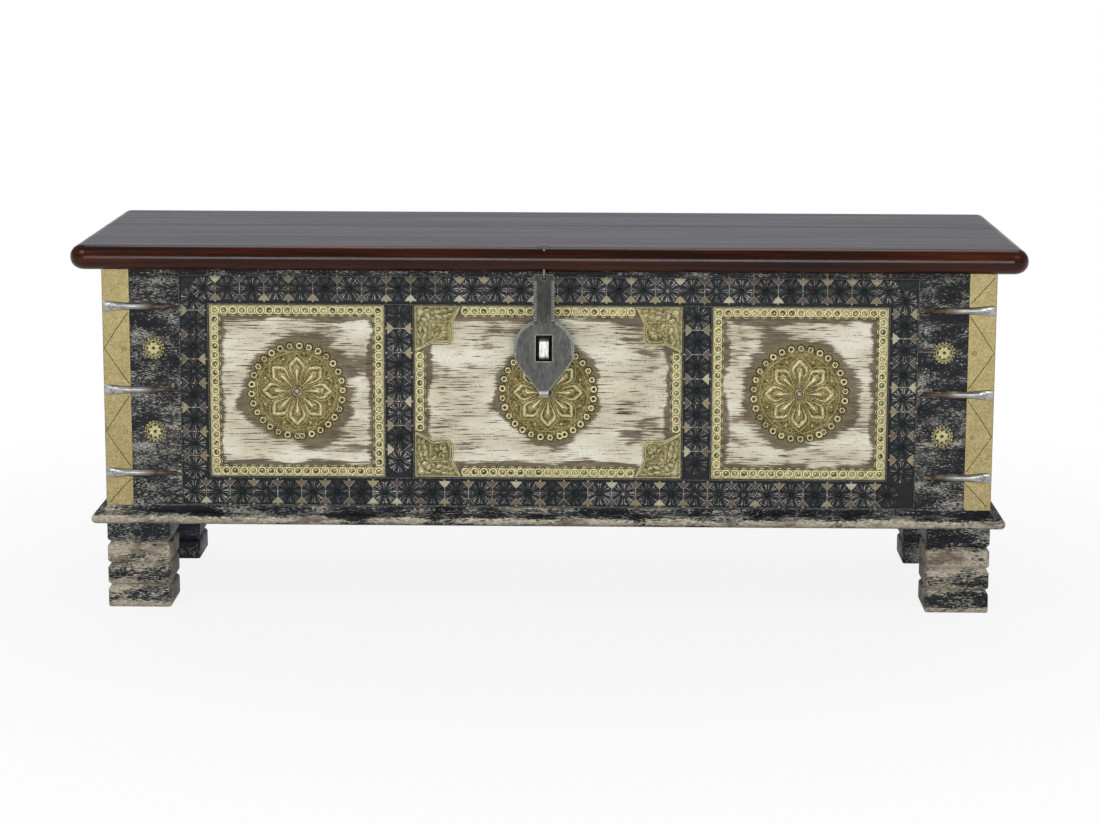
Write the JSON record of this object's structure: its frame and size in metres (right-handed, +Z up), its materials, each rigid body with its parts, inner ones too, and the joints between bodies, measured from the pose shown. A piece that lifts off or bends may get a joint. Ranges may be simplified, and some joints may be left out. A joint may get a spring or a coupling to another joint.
{
  "type": "dowry chest",
  "caption": "Low long wooden chest on square grooved feet, hinged overhanging lid, framed front with brass medallions, borders and corner plates, hanging hasp over a staple.",
  "frame": {"origin": "on the floor, under the middle of the closed lid", "axes": "+X along the chest to the right as seen from the front, -Y out of the front, +Z up"},
  "size_m": [1.16, 0.4, 0.455],
  "materials": {
    "lid_wood": "stained red-brown, glossy varnish",
    "black_paint": "black milk paint worn to cream and bare wood at the edges",
    "cream_paint": "cream paint worn along the grain",
    "inner_wood": "plain oiled wood",
    "brass": "aged sheet brass, dull with bright high spots",
    "strip_metal": "embossed sheet brass, blackened, with cream and ochre paint in its pattern",
    "strap_metal": "forged brass, bright at the corner and painted over at the taper",
    "dark_iron": "forged iron, dark and mottled",
    "bright_iron": "iron rubbed bright",
    "steel": "plain steel hinge pins"
  },
  "bodies": {
    "carcase": {"foot_front_left": "black_paint", "foot_front_right": "black_paint", "foot_back_left": "black_paint", "foot_back_right": "black_paint", "plinth_front": "black_paint", "plinth_right": "black_paint", "plinth_back": "black_paint", "plinth_left": "black_paint", "front_left_stile": "black_paint", "front_right_stile": "black_paint", "front_top_rail": "black_paint", "front_bottom_rail": "black_paint", "front_left_muntin": "black_paint", "front_right_muntin": "black_paint", "side_board_left": "black_paint", "side_board_right": "black_paint", "back_board_lower": "black_paint", "back_board_upper": "black_paint", "floor_front_plank": "inner_wood", "floor_middle_plank": "inner_wood", "floor_back_plank": "inner_wood", "front_left_panel": "cream_paint", "front_centre_panel": "cream_paint", "front_right_panel": "cream_paint", "corner_plate_left": "brass", "corner_plate_right": "brass", "corner_studs": "brass", "border_left": "brass", "border_centre": "brass", "border_right": "brass", "centre_brackets": "brass", "medallion_left": "brass", "medallion_centre": "brass", "medallion_right": "brass", "strip_top": "strip_metal", "strip_bottom": "strip_metal", "strip_left": "strip_metal", "strip_right": "strip_metal", "strip_muntin_left": "strip_metal", "strip_muntin_right": "strip_metal", "corner_straps_left": "strap_metal", "corner_straps_right": "strap_metal", "hinge_leaf_body_left": "dark_iron", "hinge_leaf_body_right": "dark_iron", "lock_staple": "bright_iron"},
    "lid": {"lid_front_board": "lid_wood", "lid_back_board": "lid_wood", "lid_batten_left": "inner_wood", "lid_batten_right": "inner_wood", "hinge_leaf_lid_left": "dark_iron", "hinge_leaf_lid_right": "dark_iron", "hinge_pins": "steel", "hasp_eye": "dark_iron"},
    "hasp": {"hasp": "dark_iron"}
  },
  "joints": [
    {"name": "lid_hinge", "type": "hinge", "parent": "carcase", "child": "lid", "pos_m": [0, 0.1798, 0.4202], "axis": [-1, 0, 0], "range_deg": [0, 110]},
    {"name": "hasp_swing", "type": "hinge", "parent": "lid", "child": "hasp", "pos_m": [-0.0049, -0.188, 0.4227], "axis": [-1, 0, 0], "range_deg": [-5, 105]}
  ]
}
